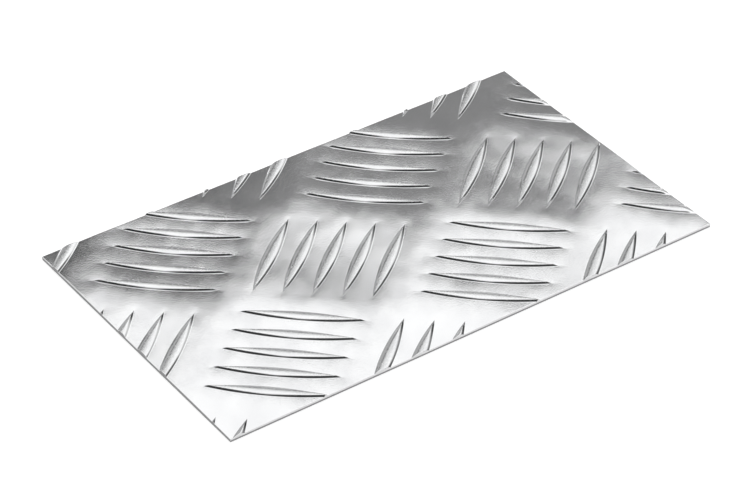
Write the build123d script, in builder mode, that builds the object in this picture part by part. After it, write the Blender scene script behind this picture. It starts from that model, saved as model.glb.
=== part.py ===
from build123d import *
import os
from math import atan2, ceil, degrees

# Five-bar tread sheet in millimetres. The origin is the middle of the flat underside, +X runs along
# the sheet's length, +Y across it and +Z up, out of the treaded face.

# Sheet
sheet_length = 140.0
sheet_width = 83.0
sheet_thickness = 1.0

# One tread bar, measured over the flat face of the sheet. Its crest is an arc along the bar, and its crown
# is round across it.
bar_length = 29.2
bar_width = 3.6
bar_height = 0.6
crest_radius = 430.0
crown_radius = 3.1
flank_draft = 47.0

# Groups of side by side bars, at angles from +X: falling bars run down to the right, rising bars up
bars_in_group = 5
bar_spacing = 7.15
falling_bar_angle = -42.4
falling_stack_angle = 39.8
rising_bar_angle = 39.6
rising_stack_angle = -39.9

# Rows of groups: the repeat each way, and the group of each direction that is nearest the far left corner
repeat_length = 61.0
repeat_width = 48.4
falling_group_x = -42.9
falling_group_y = 25.1
rising_group_x = -13.6
rising_group_y = 1.0

# Worked out from the sizes above
bar_root = sheet_thickness / 2
crest_axis_height = sheet_thickness + bar_height - crest_radius
crest_half_arc = degrees(atan2(bar_length / 2, crest_radius - bar_height))
cutting_height = 2 * (sheet_thickness + bar_height)
columns = ceil(sheet_length / repeat_length) + 1
rows = ceil(sheet_width / repeat_width) + 1


def reaches_sheet(x, y):
    """True where a bar centred at x, y can come over the sheet."""
    beside = abs(x) < (sheet_length + bar_length) / 2
    return beside and abs(y) < (sheet_width + bar_length) / 2


def group_places(group_x, group_y, bar_angle, stack_angle):
    """Places of one group's bars, evenly spaced along its stacking line."""
    places = []
    for index in range(bars_in_group):
        step = Vector((index - (bars_in_group - 1) / 2) * bar_spacing, 0, 0).rotate(Axis.Z, stack_angle)
        if reaches_sheet(group_x + step.X, group_y + step.Y):
            places.append(Location((group_x + step.X, group_y + step.Y, 0), (0, 0, bar_angle)))
    return places


def pattern_places(first_x, first_y, bar_angle, stack_angle):
    """Places of all bars of one direction, in groups that repeat along and across the sheet."""
    places = []
    for column in range(-columns, columns + 1):
        for row in range(-rows, rows + 1):
            group_x = first_x + column * repeat_length
            group_y = first_y + row * repeat_width
            places += group_places(group_x, group_y, bar_angle, stack_angle)
    return places


# The crown's round section starts at one tip, and turns about this axis, along the crest, to the other tip
crest_axis = Axis((0, 0, crest_axis_height), (0, 1, 0))
middle_section = Plane((0, 0, crest_axis_height), x_dir=(0, 1, 0), z_dir=(1, 0, 0))
tip_section = middle_section.rotated((0, -crest_half_arc, 0))

# One tread bar: a pointed outline whose sloping flanks end in a crown that is highest at its middle
with BuildPart() as tread_bar:
    with BuildSketch(Plane.XY.offset(sheet_thickness)) as bar_outline:
        with BuildLine():
            ThreePointArc((-bar_length / 2, 0), (0, -bar_width / 2), (bar_length / 2, 0))
            ThreePointArc((bar_length / 2, 0), (0, bar_width / 2), (-bar_length / 2, 0))
        make_face()
    extrude(amount=bar_height, taper=flank_draft)
    with BuildSketch(tip_section):
        with Locations((0, crest_radius - crown_radius)):
            Circle(crown_radius)
    revolve(axis=crest_axis, revolution_arc=2 * crest_half_arc, mode=Mode.INTERSECT)
    extrude(bar_outline.sketch, amount=-bar_root)

# The sheet with its bars in one piece, sheared square through sheet and bars alike
with BuildPart() as tread_sheet:
    with Locations(*pattern_places(falling_group_x, falling_group_y, falling_bar_angle, falling_stack_angle)):
        add(tread_bar.part)
    with Locations(*pattern_places(rising_group_x, rising_group_y, rising_bar_angle, rising_stack_angle)):
        add(tread_bar.part)
    Box(sheet_length, sheet_width, cutting_height, mode=Mode.INTERSECT)
    Box(sheet_length, sheet_width, sheet_thickness, align=(Align.CENTER, Align.CENTER, Align.MIN))

os.makedirs("parts", exist_ok=True)
tread_sheet.part.label = "tread_sheet"
export_step(tread_sheet.part, "parts/tread_sheet.step")
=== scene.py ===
import math
from collections import namedtuple
import bmesh
import bpy
import numpy as np
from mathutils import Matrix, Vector
from mathutils.geometry import delaunay_2d_cdt


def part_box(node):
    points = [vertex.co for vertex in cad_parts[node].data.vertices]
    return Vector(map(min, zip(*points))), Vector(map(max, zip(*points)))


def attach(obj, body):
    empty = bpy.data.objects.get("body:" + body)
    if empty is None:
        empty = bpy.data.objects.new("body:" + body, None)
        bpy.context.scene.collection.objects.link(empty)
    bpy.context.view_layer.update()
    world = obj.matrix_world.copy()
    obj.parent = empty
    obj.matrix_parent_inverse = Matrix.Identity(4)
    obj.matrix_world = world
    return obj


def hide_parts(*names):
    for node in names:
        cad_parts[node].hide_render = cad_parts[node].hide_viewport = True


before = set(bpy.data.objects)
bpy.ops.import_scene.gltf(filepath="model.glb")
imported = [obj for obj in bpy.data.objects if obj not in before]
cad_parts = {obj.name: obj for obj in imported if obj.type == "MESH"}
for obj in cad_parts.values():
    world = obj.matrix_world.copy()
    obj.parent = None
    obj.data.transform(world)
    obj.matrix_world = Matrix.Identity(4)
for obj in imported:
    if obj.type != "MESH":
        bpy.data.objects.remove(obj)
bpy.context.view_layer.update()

# Lengths are in metres, angles in degrees
MM = 0.001

# Sheet, from the CAD node's box
SHEET_LOW, SHEET_HIGH = (Vector(corner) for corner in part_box("tread_sheet"))
HALF_LENGTH = (SHEET_HIGH.x - SHEET_LOW.x) / 2
HALF_WIDTH = (SHEET_HIGH.y - SHEET_LOW.y) / 2
BAR_HEIGHT = 0.6 * MM
SHEET_TOP = SHEET_HIGH.z - BAR_HEIGHT

# One tread bar, by the outline that shows over its soft root. The crest is measured over the sheet round the
# bar. The flanks get steeper from the middle to the ends: the later, the higher the power, which is given for
# the low end and the high end. Falling bars' flanks are a little steeper in the rows near the camera.
BAR_LENGTH = 29.8 * MM
BAR_WIDTH = 3.3 * MM
CREST = {"falling": 0.49 * MM, "rising": 0.48 * MM}
CREST_DROP = 0.02 * MM
CROWN_ACROSS = 9.0 * MM
FLANK_MIDDLE = 32.0
FLANK_END = 66.0
FLANK_CHANGE = {"falling": 1.0, "rising": 0.0}
END_POWERS = {"falling": (1.9, 1.6), "rising": (1.4, 8.0)}
SHOULDER_MIDDLE = 0.20 * MM
SHOULDER_END = 0.05 * MM
ROOT_BLEND = 0.04 * MM
RELIEF_MARGIN = 1.0 * MM

# The bar's outline is two arcs of this radius, with their centres this far from the bar's middle line
LENS_RADIUS = (BAR_LENGTH**2 + BAR_WIDTH**2) / (4 * BAR_WIDTH)
LENS_CENTRE = LENS_RADIUS - BAR_WIDTH / 2

# Groups of bars: where the first group of each direction lies, the bars' angle and the stacking line's angle
BARS_IN_GROUP = 5
BAR_SPACING = 7.15 * MM
REPEAT_LENGTH = 61.0 * MM
REPEAT_WIDTH = 48.4 * MM
DIRECTIONS = {
    "falling": (-42.9 * MM, 25.1 * MM, -42.4, 39.8),
    "rising": (-13.6 * MM, 1.0 * MM, 39.6, -39.9),
}
GROUP_COLUMNS = range(-2, 4)
GROUP_ROWS = range(-2, 3)

# The sheet's own waviness, rolled in with the pattern: a shallow bowl under each group, a moat round each bar
RIDGE_RISE = 0.11 * MM
BOWL_DEPTH = 0.24 * MM
BOWL_ALONG = 17.0 * MM
BOWL_STACK = 18.0 * MM
BOWL_POWERS = {"falling": (4.0, 2.4), "rising": (2.4, 4.0)}
MOAT_MIDDLE = 0.012 * MM
MOAT_END = 0.024 * MM
MOAT_POWER = 4
MOAT_REACH = 1.5 * MM
MOAT_MARGIN = 6 * MOAT_REACH

# Sheared edges: the treaded face rolls over, and the bars are pressed down along the right short edge
ROLL_OVER = 0.04 * MM
ROLL_OVER_REACH = 0.15 * MM
PRESSED_REACH = 1.2 * MM
PRESSED_SHARE = 0.7

# Heights between which the sheet's bright finish gives way to the bars' duller one
DULL_START = SHEET_TOP + 0.14 * MM
DULL_FULL = SHEET_TOP + 0.24 * MM

# Material slots of the dressed sheet
FACE_SLOT, CUT_SLOT, BACK_SLOT, TORN_AND_SHADE_SLOT = range(4)

# Sides in bands from the treaded face down: the share of the sheet where a band ends, its inset and its slot
# The torn bands are a real rough, inset tear, and their dark colour is painted shade for the shadow line
# along the foot of the edge.
SIDE_BANDS = [
    (0.48, 0.0, CUT_SLOT),
    (0.44, 0.03 * MM, TORN_AND_SHADE_SLOT),
    (0.06, 0.05 * MM, TORN_AND_SHADE_SLOT),
    (0.0, 0.03 * MM, TORN_AND_SHADE_SLOT),
]

# Mesh: rings on each bar at offsets in from its outline, a net of points between them, cuts near the edges
RING_STEPS = 44
RING_OFFSETS = [
    offset * MM for offset in (
        -0.6, -0.35, -0.2, -0.1, -0.04, 0.02, 0.08, 0.15,
        0.23, 0.32, 0.43, 0.58, 0.8, 1.05, 1.3, 1.55,
    )
]
NET_SPACING = 1.5 * MM
NET_CLEARANCE = 0.4 * MM
NET_MARGIN = 33.0 * MM
EDGE_CUTS = [inset * MM for inset in (0.0, 0.03, 0.08, 0.15, 0.22, 0.3)]
CUT_TOLERANCE = 1e-7
NET_TOLERANCE = 1e-9
SHARP_ANGLE = 50.0

# Camera, worked out from the photograph's perspective
IMAGE_WIDTH_PX = 750
FOCAL_LENGTH_PX = 2996
SENSOR_WIDTH = 36.0
CAMERA_AZIMUTH = -35.34
CAMERA_ELEVATION = 36.84
CAMERA_DISTANCE = 723.7 * MM
CAMERA_TARGET = Vector((-3.07 * MM, -2.84 * MM, SHEET_TOP))

# Studio directions: right and deep are the photograph's own, level with the floor
CAMERA_TURN = math.radians(CAMERA_AZIMUTH)
RIGHT = Vector((math.cos(CAMERA_TURN), math.sin(CAMERA_TURN), 0))
DEEP = Vector((-math.sin(CAMERA_TURN), math.cos(CAMERA_TURN), 0))
UP = Vector((0, 0, 1))

# The broad light overhead ends at a straight edge on the deep side. The plane through the part and that edge
# has this normal, towards the light.
LIGHT_NORMAL = RIGHT * 0.195 + DEEP * -0.591 + UP * 0.783
LIGHT_SHIFT = -0.005
LIGHT_FADE = 0.008
LIGHT_RADIANCE = 1.12

FLOOR_HALF_SIZE = 30
FLOOR_COLOR = (0.8, 0.8, 0.8, 1)
FLOOR_GLOW = 0.72

Bar = namedtuple("Bar", "x y angle direction")


def turn(x, y, angle):
    """x, y turned about the origin, counter-clockwise."""
    c, s = math.cos(math.radians(angle)), math.sin(math.radians(angle))
    return c * x - s * y, s * x + c * y


def group_centres(direction):
    """Centre of every group of one direction, on and round the sheet."""
    first_x, first_y, _, _ = DIRECTIONS[direction]
    for column in GROUP_COLUMNS:
        for row in GROUP_ROWS:
            yield first_x + column * REPEAT_LENGTH, first_y + row * REPEAT_WIDTH


def bar_reaches_sheet(bar):
    """True where the bar's middle line comes within a bar's width of the sheet."""
    for along in np.linspace(-0.5, 0.5, 21):
        dx, dy = turn(along * BAR_LENGTH, 0, bar.angle)
        if abs(bar.x + dx) < HALF_LENGTH + BAR_WIDTH and abs(bar.y + dy) < HALF_WIDTH + BAR_WIDTH:
            return True
    return False


def find_bars():
    """Every bar that reaches the sheet."""
    bars = []
    for direction, (_, _, bar_angle, stack_angle) in DIRECTIONS.items():
        for group_x, group_y in group_centres(direction):
            for index in range(BARS_IN_GROUP):
                reach = (index - (BARS_IN_GROUP - 1) / 2) * BAR_SPACING
                dx, dy = turn(reach, 0, stack_angle)
                bar = Bar(group_x + dx, group_y + dy, bar_angle, direction)
                if bar_reaches_sheet(bar):
                    bars.append(bar)
    return bars


def bar_coordinates(bar, x, y):
    """x, y in the bar's own coordinates, along and across it."""
    return turn(x - bar.x, y - bar.y, -bar.angle)


def inside_outline(along, across):
    """How far a point lies inside the bar's outline, less than 0 outside it."""
    return LENS_RADIUS - np.hypot(along, np.abs(across) + LENS_CENTRE)


def end_share(along):
    """0 at the bar's middle, 1 at its tips and beyond them."""
    return np.minimum(np.abs(2 * along / BAR_LENGTH), 1)


def smooth_min(a, b, blend):
    """The lower of two heights, with their crossing rounded over."""
    h = np.clip(0.5 + 0.5 * (b - a) / blend, 0, 1)
    return b + (a - b) * h - blend * h * (1 - h)


def bar_relief(bar, along, across):
    """Height of one bar over the sheet round it."""
    low_power, high_power = END_POWERS[bar.direction]
    share = end_share(along)
    steepened = share ** np.where(along < 0, low_power, high_power)
    middle = FLANK_MIDDLE - FLANK_CHANGE[bar.direction] * bar.y / HALF_WIDTH
    slope = np.tan(np.radians(middle + (FLANK_END - middle) * steepened))
    shoulder = SHOULDER_MIDDLE + (SHOULDER_END - SHOULDER_MIDDLE) * share
    crown = CREST[bar.direction] - CREST_DROP * share**2 - across**2 / (2 * CROWN_ACROSS)
    return smooth_min(inside_outline(along, across) * slope, crown, shoulder)


def sheet_relief(x, y, bars):
    """Shallow bowls that the rolls leave under each group of bars, and the moat round each bar."""
    wave = np.full_like(x, RIDGE_RISE)
    for direction, (_, _, bar_angle, stack_angle) in DIRECTIONS.items():
        along_power, stack_power = BOWL_POWERS[direction]
        for group_x, group_y in group_centres(direction):
            along, _ = turn(x - group_x, y - group_y, -bar_angle)
            stack, _ = turn(x - group_x, y - group_y, -stack_angle)
            reach = np.abs(along / BOWL_ALONG) ** along_power + np.abs(stack / BOWL_STACK) ** stack_power
            wave -= BOWL_DEPTH * np.exp(-reach)
    for bar in bars:
        near = np.hypot(x - bar.x, y - bar.y) < BAR_LENGTH / 2 + MOAT_MARGIN
        along, across = bar_coordinates(bar, x[near], y[near])
        outside = np.maximum(-inside_outline(along, across), 0)
        beyond = np.maximum(np.abs(along) - BAR_LENGTH / 2, 0)
        depth = MOAT_MIDDLE + (MOAT_END - MOAT_MIDDLE) * end_share(along) ** MOAT_POWER
        wave[near] -= depth * np.exp(-np.hypot(outside, beyond) / MOAT_REACH)
    return wave


def top_height(x, y, bars):
    """Height of the treaded face at each point."""
    raised = np.zeros_like(x)
    for bar in bars:
        near = np.hypot(x - bar.x, y - bar.y) < BAR_LENGTH / 2 + RELIEF_MARGIN
        along, across = bar_coordinates(bar, x[near], y[near])
        raised[near] = -smooth_min(-raised[near], -bar_relief(bar, along, across), ROOT_BLEND)
    pressed = np.clip(1 - (HALF_LENGTH - x) / PRESSED_REACH, 0, 1)
    raised *= 1 - PRESSED_SHARE * pressed**2 * (3 - 2 * pressed)
    top = SHEET_TOP + sheet_relief(x, y, bars) + raised
    edge = np.minimum(HALF_LENGTH - np.abs(x), HALF_WIDTH - np.abs(y))
    fall = np.clip(1 - edge / ROLL_OVER_REACH, 0, 1)
    return np.minimum(top, SHEET_HIGH.z) - ROLL_OVER * (1 - np.sqrt(1 - fall**2))


def lens_ring(offset):
    """Points round a bar's outline drawn in by an offset, in the bar's own coordinates."""
    radius = LENS_RADIUS - offset
    half_angle = math.acos(min(1.0, LENS_CENTRE / radius))
    turns = np.linspace(-half_angle, half_angle, RING_STEPS + 1)
    side = np.stack([radius * np.sin(turns), radius * np.cos(turns) - LENS_CENTRE], 1)
    return np.concatenate([side[:-1], -side[:-1]])


def ring_faces(start, count):
    """Quads between the rings of one bar, and the strip that closes its innermost ring."""
    faces = []
    for level in range(len(RING_OFFSETS) - 1):
        outer = start + level * count
        for i in range(count):
            j = (i + 1) % count
            faces.append((outer + j, outer + i, outer + count + i, outer + count + j))
    inner = start + (len(RING_OFFSETS) - 1) * count
    for i in range(count // 2):
        j = (count - i) % count
        k = count - i - 1
        if j == i:
            faces.append((inner + i + 1, inner + i, inner + k))
        elif k == i + 1:
            faces.append((inner + k, inner + i, inner + j))
        else:
            faces.append((inner + i + 1, inner + i, inner + j, inner + k))
    return faces


def net_grid(bars):
    """Staggered rows of points on and round the sheet, clear of the bars' outermost rings."""
    wide, deep = HALF_LENGTH + NET_MARGIN, HALF_WIDTH + NET_MARGIN
    row_step = NET_SPACING * math.sqrt(3) / 2
    rows = []
    for row, y in enumerate(np.arange(-deep, deep + row_step, row_step)):
        x = np.arange(-wide, wide + NET_SPACING, NET_SPACING) + (row % 2) * NET_SPACING / 2
        rows.append(np.stack([x, np.full_like(x, y)], 1))
    grid = np.concatenate(rows)
    keep = np.ones(len(grid), bool)
    for bar in bars:
        inside = inside_outline(*bar_coordinates(bar, grid[:, 0], grid[:, 1]))
        keep &= inside < RING_OFFSETS[0] - NET_CLEARANCE
    return grid[keep]


def net_faces(bars, points, grid, outlines):
    """Triangles between the bars' outermost rings, through the points of the grid."""
    ring_points = [index for outline in outlines for index in outline]
    order_of = {index: order for order, index in enumerate(ring_points)}
    edges = []
    for outline in outlines:
        for i, index in enumerate(outline):
            edges.append((order_of[index], order_of[outline[(i + 1) % len(outline)]]))
    net_points = [Vector(points[index]) for index in ring_points] + [Vector(point) for point in grid]
    found, _, triangles, _, _, _ = delaunay_2d_cdt(net_points, edges, [], 0, NET_TOLERANCE, False)
    triangles = np.array(triangles)
    centres = np.array([tuple(point) for point in found])[triangles].mean(axis=1)
    outside = np.ones(len(triangles), bool)
    for bar in bars:
        inside = inside_outline(*bar_coordinates(bar, centres[:, 0], centres[:, 1]))
        outside &= inside < RING_OFFSETS[0]
    order = ring_points + list(range(len(points), len(points) + len(grid)))
    return [tuple(order[i] for i in triangle) for triangle in triangles[outside]]


def top_net(bars):
    """Points and faces of the treaded face seen from above: rings on every bar, a net between the bars."""
    rings = [lens_ring(offset) for offset in RING_OFFSETS]
    count = len(rings[0])
    points, faces, outlines = [], [], []
    for bar in bars:
        start = len(points)
        for ring in rings:
            x, y = turn(ring[:, 0], ring[:, 1], bar.angle)
            points += list(zip(x + bar.x, y + bar.y))
        outlines.append(list(range(start, start + count)))
        faces += ring_faces(start, count)
    points = np.array(points)
    grid = net_grid(bars)
    faces += net_faces(bars, points, grid, outlines)
    return np.concatenate([points, grid]), faces


def cut_to_size(work):
    """Cut the net off at the sheet's four edges, with more cuts beside them for the roll-over."""
    for normal, half in (((1, 0, 0), HALF_LENGTH), ((0, 1, 0), HALF_WIDTH)):
        for sign in (1, -1):
            for inset in EDGE_CUTS:
                direction = Vector(normal) * sign
                bmesh.ops.bisect_plane(
                    work,
                    geom=work.verts[:] + work.edges[:] + work.faces[:],
                    dist=CUT_TOLERANCE,
                    plane_co=direction * (half - inset),
                    plane_no=direction,
                    clear_outer=inset == 0,
                )


def raise_relief(work, bars):
    """Lift the net to the treaded face's heights, facing up."""
    flat = np.array([vert.co[:2] for vert in work.verts])
    for vert, z in zip(work.verts, top_height(flat[:, 0], flat[:, 1], bars)):
        vert.co.z = z
    for face in work.faces:
        face.smooth = True
        if face.normal.z < 0:
            face.normal_flip()


def add_sides_and_back(work):
    """Sheared sides, in bands from the treaded face down, and the back. Short sides take the torn finish all
    over, whose dark colour paints their shade.
    """
    loop = [edge for edge in work.edges if edge.is_boundary]
    for level, inset, slot in SIDE_BANDS:
        made = bmesh.ops.extrude_edge_only(work, edges=loop)["geom"]
        loop = [item for item in made if isinstance(item, bmesh.types.BMEdge)]
        for item in made:
            if isinstance(item, bmesh.types.BMFace):
                item.material_index = slot
                item.smooth = False
            elif isinstance(item, bmesh.types.BMVert):
                item.co.z = SHEET_TOP * level
                item.co.x = math.copysign(min(abs(item.co.x), HALF_LENGTH - inset), item.co.x)
                item.co.y = math.copysign(min(abs(item.co.y), HALF_WIDTH - inset), item.co.y)
    work.normal_update()
    for face in work.faces:
        # Short sides take the dark torn finish all over: painted shade on them.
        if face.material_index == CUT_SLOT and abs(face.normal.x) > abs(face.normal.y):
            face.material_index = TORN_AND_SHADE_SLOT
    for face in bmesh.ops.contextual_create(work, geom=loop)["faces"]:
        face.material_index = BACK_SLOT
    bmesh.ops.recalc_face_normals(work, faces=work.faces)


def build_sheet(bars):
    """The dressed sheet: treaded face, sheared sides and back in one closed mesh."""
    points, faces = top_net(bars)
    mesh = bpy.data.meshes.new("tread_sheet_dressed")
    mesh.from_pydata([(x, y, SHEET_TOP) for x, y in points], [], faces)
    work = bmesh.new()
    work.from_mesh(mesh)
    bmesh.ops.recalc_face_normals(work, faces=work.faces)
    cut_to_size(work)
    raise_relief(work, bars)
    add_sides_and_back(work)
    work.to_mesh(mesh)
    work.free()
    mesh.set_sharp_from_angle(angle=math.radians(SHARP_ANGLE))
    dressed = bpy.data.objects.new("tread_sheet_dressed", mesh)
    bpy.context.scene.collection.objects.link(dressed)
    return dressed


class Nodes:
    """Short calls that add nodes to a node tree."""

    def __init__(self, tree):
        self.tree = tree

    def node(self, kind, **settings):
        made = self.tree.nodes.new(kind)
        for key, value in settings.items():
            setattr(made, key, value)
        return made

    def link(self, source, target):
        self.tree.links.new(source, target)

    def math(self, operation, first, second):
        """Two values combined, each a number or another node's output."""
        made = self.node("ShaderNodeMath", operation=operation)
        for socket, value in zip(made.inputs, (first, second)):
            if isinstance(value, (int, float)):
                socket.default_value = value
            else:
                self.link(value, socket)
        return made.outputs[0]

    def ramp(self, source, low, high, to_low, to_high, kind="LINEAR"):
        """A value that goes from to_low to to_high while the source goes from low to high."""
        made = self.node("ShaderNodeMapRange", interpolation_type=kind)
        limits = {"From Min": low, "From Max": high, "To Min": to_low, "To Max": to_high}
        for name, value in limits.items():
            made.inputs[name].default_value = value
        self.link(source, made.inputs["Value"])
        return made.outputs["Result"]


class Metal(Nodes):
    """A metal material with short calls for its textures. Scales are per metre."""

    def __init__(self, name):
        self.material = bpy.data.materials.new(name)
        self.material.use_nodes = True
        super().__init__(self.material.node_tree)
        self.shader = self.tree.nodes["Principled BSDF"]
        self.shader.inputs["Metallic"].default_value = 1.0
        self.point = self.node("ShaderNodeTexCoord").outputs["Object"]

    def stretched(self, x, y, z):
        """Coordinates stretched along each axis."""
        mapping = self.node("ShaderNodeMapping")
        mapping.inputs["Scale"].default_value = (x, y, z)
        self.link(self.point, mapping.inputs["Vector"])
        return mapping.outputs["Vector"]

    def turned(self, angle, along, across):
        """Coordinates along and across a direction on the sheet, each stretched by its own share."""
        mapping = self.node("ShaderNodeMapping")
        mapping.inputs["Rotation"].default_value = (0, 0, math.radians(-angle))
        self.link(self.point, mapping.inputs["Vector"])
        scaled = self.node("ShaderNodeVectorMath", operation="MULTIPLY")
        scaled.inputs[1].default_value = (along, across, 1)
        self.link(mapping.outputs["Vector"], scaled.inputs[0])
        return scaled.outputs["Vector"]

    def noise(self, scale, detail, roughness=0.55, vector=None):
        made = self.node("ShaderNodeTexNoise")
        made.inputs["Scale"].default_value = scale
        made.inputs["Detail"].default_value = detail
        made.inputs["Roughness"].default_value = roughness
        self.link(vector or self.point, made.inputs["Vector"])
        return made.outputs["Fac"]

    def spread(self, source, to_low, to_high):
        """A noise's usual range spread over another range."""
        return self.ramp(source, 0.3, 0.7, to_low, to_high)

    def color(self, factor, low, high):
        """Base colour between two colours."""
        made = self.node("ShaderNodeMix", data_type="RGBA")
        made.inputs["A"].default_value = (*low, 1)
        made.inputs["B"].default_value = (*high, 1)
        self.link(factor, made.inputs["Factor"])
        self.link(made.outputs["Result"], self.shader.inputs["Base Color"])

    def roughness(self, source):
        self.link(source, self.shader.inputs["Roughness"])

    def between(self, factor, low, high):
        made = self.node("ShaderNodeMix", data_type="FLOAT")
        for name, source in (("Factor", factor), ("A", low), ("B", high)):
            self.link(source, made.inputs[name])
        return made.outputs["Result"]

    def bump(self, *layers):
        """Fine relief in layers, each a height and its depth, from the lowest up."""
        normal = None
        for height, depth in layers:
            made = self.node("ShaderNodeBump")
            made.inputs["Distance"].default_value = depth
            self.link(height, made.inputs["Height"])
            if normal is not None:
                self.link(normal, made.inputs["Normal"])
            normal = made.outputs["Normal"]
        self.link(normal, self.shader.inputs["Normal"])


def rolled_face():
    """Bright sheet with a cloudy tone and a fine grain, and duller bars that are told by their height."""
    metal = Metal("rolled_aluminium")
    place = metal.node("ShaderNodeSeparateXYZ")
    metal.link(metal.point, place.inputs[0])
    on_bar = metal.ramp(place.outputs["Z"], DULL_START, DULL_FULL, 0, 1)
    grain = metal.noise(3200, 2)
    mottle = metal.noise(900, 3)
    cloud = metal.noise(1, 1, 0.4, metal.turned(-35, 160, 80))
    metal.color(metal.spread(cloud, 0, 1), (0.83, 0.835, 0.845), (0.90, 0.905, 0.91))
    sheet_dull = metal.spread(mottle, 0.055, 0.085)
    bar_dull = metal.spread(grain, 0.15, 0.30)
    metal.roughness(metal.between(on_bar, sheet_dull, bar_dull))
    metal.bump((cloud, 0.055 * MM), (grain, 0.007 * MM))
    return metal.material


def sheared_side(name, dark, light, dull):
    """Streaks that the shear leaves down the sheet's edge, between two greys."""
    metal = Metal(name)
    streaks = metal.noise(1, 3, vector=metal.stretched(2500, 2500, 250))
    metal.color(streaks, (dark, dark, dark * 1.01), (light, light, light * 1.01))
    metal.roughness(metal.spread(streaks, dull - 0.1, dull + 0.1))
    metal.bump((streaks, 0.03 * MM))
    return metal.material


def plain_back():
    """Mill finish with rolling lines along the sheet."""
    metal = Metal("mill_finish_back")
    lines = metal.noise(1, 4, vector=metal.stretched(60, 3000, 60))
    metal.color(lines, (0.76, 0.77, 0.78), (0.86, 0.865, 0.875))
    metal.roughness(metal.spread(lines, 0.28, 0.42))
    metal.bump((lines, 0.006 * MM))
    return metal.material


def make_camera():
    """The photograph's camera."""
    data = bpy.data.cameras.new("camera")
    data.sensor_width = SENSOR_WIDTH
    data.lens = FOCAL_LENGTH_PX / IMAGE_WIDTH_PX * SENSOR_WIDTH
    data.clip_start = 0.01
    data.clip_end = 20
    camera = bpy.data.objects.new("camera", data)
    elevation = math.radians(CAMERA_ELEVATION)
    back = -DEEP * math.cos(elevation) + UP * math.sin(elevation)
    camera.location = CAMERA_TARGET + back * CAMERA_DISTANCE
    camera.rotation_euler = (-back).to_track_quat("-Z", "Y").to_euler()
    bpy.context.scene.collection.objects.link(camera)
    bpy.context.scene.camera = camera


def make_floor():
    """A pale floor that takes the part's shadow, and is white to the camera and in reflections."""
    size = FLOOR_HALF_SIZE
    corners = [(-size, -size, 0), (size, -size, 0), (size, size, 0), (-size, size, 0)]
    mesh = bpy.data.meshes.new("floor")
    mesh.from_pydata(corners, [], [(0, 1, 2, 3)])
    floor = bpy.data.objects.new("floor", mesh)
    bpy.context.scene.collection.objects.link(floor)
    material = bpy.data.materials.new("floor")
    material.use_nodes = True
    nodes = Nodes(material.node_tree)
    nodes.tree.nodes.clear()
    diffuse = nodes.node("ShaderNodeBsdfDiffuse")
    diffuse.inputs["Color"].default_value = FLOOR_COLOR
    ray = nodes.node("ShaderNodeLightPath").outputs
    seen = nodes.math("MAXIMUM", ray["Is Camera Ray"], ray["Is Glossy Ray"])
    seen = nodes.math("MAXIMUM", seen, ray["Is Transmission Ray"])
    glow = nodes.node("ShaderNodeEmission")
    nodes.link(nodes.math("MULTIPLY", seen, FLOOR_GLOW), glow.inputs["Strength"])
    both = nodes.node("ShaderNodeAddShader")
    nodes.link(diffuse.outputs[0], both.inputs[0])
    nodes.link(glow.outputs[0], both.inputs[1])
    nodes.link(both.outputs[0], nodes.node("ShaderNodeOutputMaterial").inputs["Surface"])
    mesh.materials.append(material)


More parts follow.
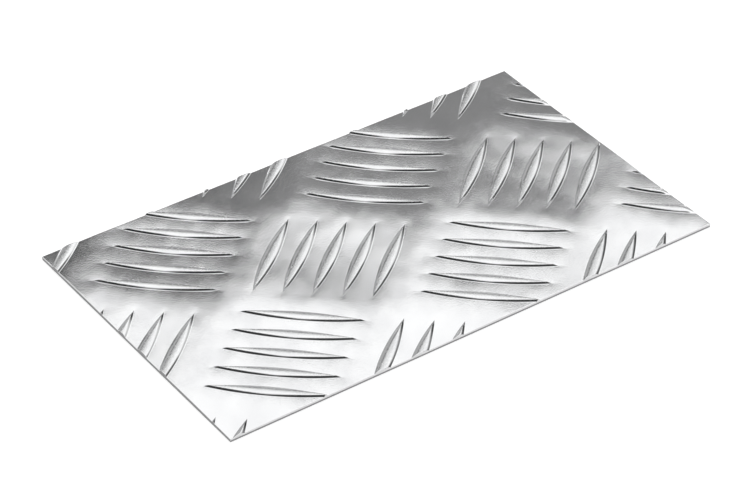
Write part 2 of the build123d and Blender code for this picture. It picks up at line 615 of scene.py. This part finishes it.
def make_world():
    """The studio round the part, told by direction. It is white to the camera."""
    world = bpy.data.worlds.new("studio")
    bpy.context.scene.world = world
    world.use_nodes = True
    nodes = Nodes(world.node_tree)
    background = nodes.tree.nodes["Background"]
    direction = nodes.node("ShaderNodeTexCoord").outputs["Generated"]

    def fade(axis, low, high, to_low, to_high):
        """From to_low to to_high while the direction's share along an axis goes from low to high."""
        dot = nodes.node("ShaderNodeVectorMath", operation="DOT_PRODUCT")
        dot.inputs[1].default_value = axis
        nodes.link(direction, dot.inputs[0])
        return nodes.ramp(dot.outputs["Value"], low, high, to_low, to_high, "SMOOTHSTEP")

    # Beyond the light: a pale low background, dimmer over it, with a dark gap left of the middle
    low_background = fade(UP, 0.42, 0.52, 0.45, 0.24)
    left_dim = fade(RIGHT, -0.12, -0.01, 0.4, 1.0)
    far_left = fade(RIGHT, -0.34, -0.16, 3.0, 1.0)
    left_gap = nodes.math("MULTIPLY", left_dim, far_left)
    unlit = nodes.math("MULTIPLY", low_background, left_gap)

    # The broad light, a little weaker on the far left
    lit = fade(LIGHT_NORMAL, LIGHT_SHIFT - LIGHT_FADE, LIGHT_SHIFT + LIGHT_FADE, 0.0, 1.0)
    gain = nodes.math("MULTIPLY", lit, nodes.math("SUBTRACT", LIGHT_RADIANCE, unlit))
    room = nodes.math("ADD", unlit, gain)
    room = nodes.math("MULTIPLY", room, fade(RIGHT, -0.42, -0.20, 0.8, 1.0))

    # Dark room behind the camera, paler near the horizon and off to both sides
    horizon = fade(UP, 0.0, 0.22, 0.7, 0.0)
    right_of_it = fade(RIGHT, 0.25, 0.45, 0.0, 0.6)
    left_of_it = fade(RIGHT, -0.80, -0.64, 0.6, 0.0)
    beside = nodes.math("MAXIMUM", right_of_it, left_of_it)
    pale = nodes.math("MAXIMUM", horizon, beside)
    camera_side = nodes.math("MAXIMUM", fade(DEEP, -0.24, 0.0, 0.05, 1.0), pale)
    room = nodes.math("MULTIPLY", room, camera_side)

    # Dark room on the right, paler high up and towards the camera's side
    pale = nodes.math("MAXIMUM", fade(DEEP, 0.0, 0.25, 0.6, 0.0), fade(UP, 0.48, 0.60, 0.0, 0.7))
    right_side = nodes.math("MAXIMUM", fade(RIGHT, 0.50, 0.68, 1.0, 0.12), pale)
    room = nodes.math("MULTIPLY", room, right_side)

    ray = nodes.node("ShaderNodeLightPath").outputs
    nodes.link(nodes.math("MAXIMUM", room, ray["Is Camera Ray"]), background.inputs["Color"])
    background.inputs["Strength"].default_value = 1.0


sheet = build_sheet(find_bars())
slots = {
    FACE_SLOT: rolled_face(),
    CUT_SLOT: sheared_side("sheared_aluminium", 0.60, 0.85, 0.45),
    BACK_SLOT: plain_back(),
    # The torn finish's dark greys are painted shade, along the foot of the edges and over the short sides.
    TORN_AND_SHADE_SLOT: sheared_side("torn_aluminium_and_painted_shade", 0.22, 0.42, 0.6),
}
for slot in sorted(slots):
    sheet.data.materials.append(slots[slot])
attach(sheet, "root")
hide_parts("tread_sheet")

make_camera()
make_floor()
make_world()
bpy.context.scene.view_settings.view_transform = "Standard"
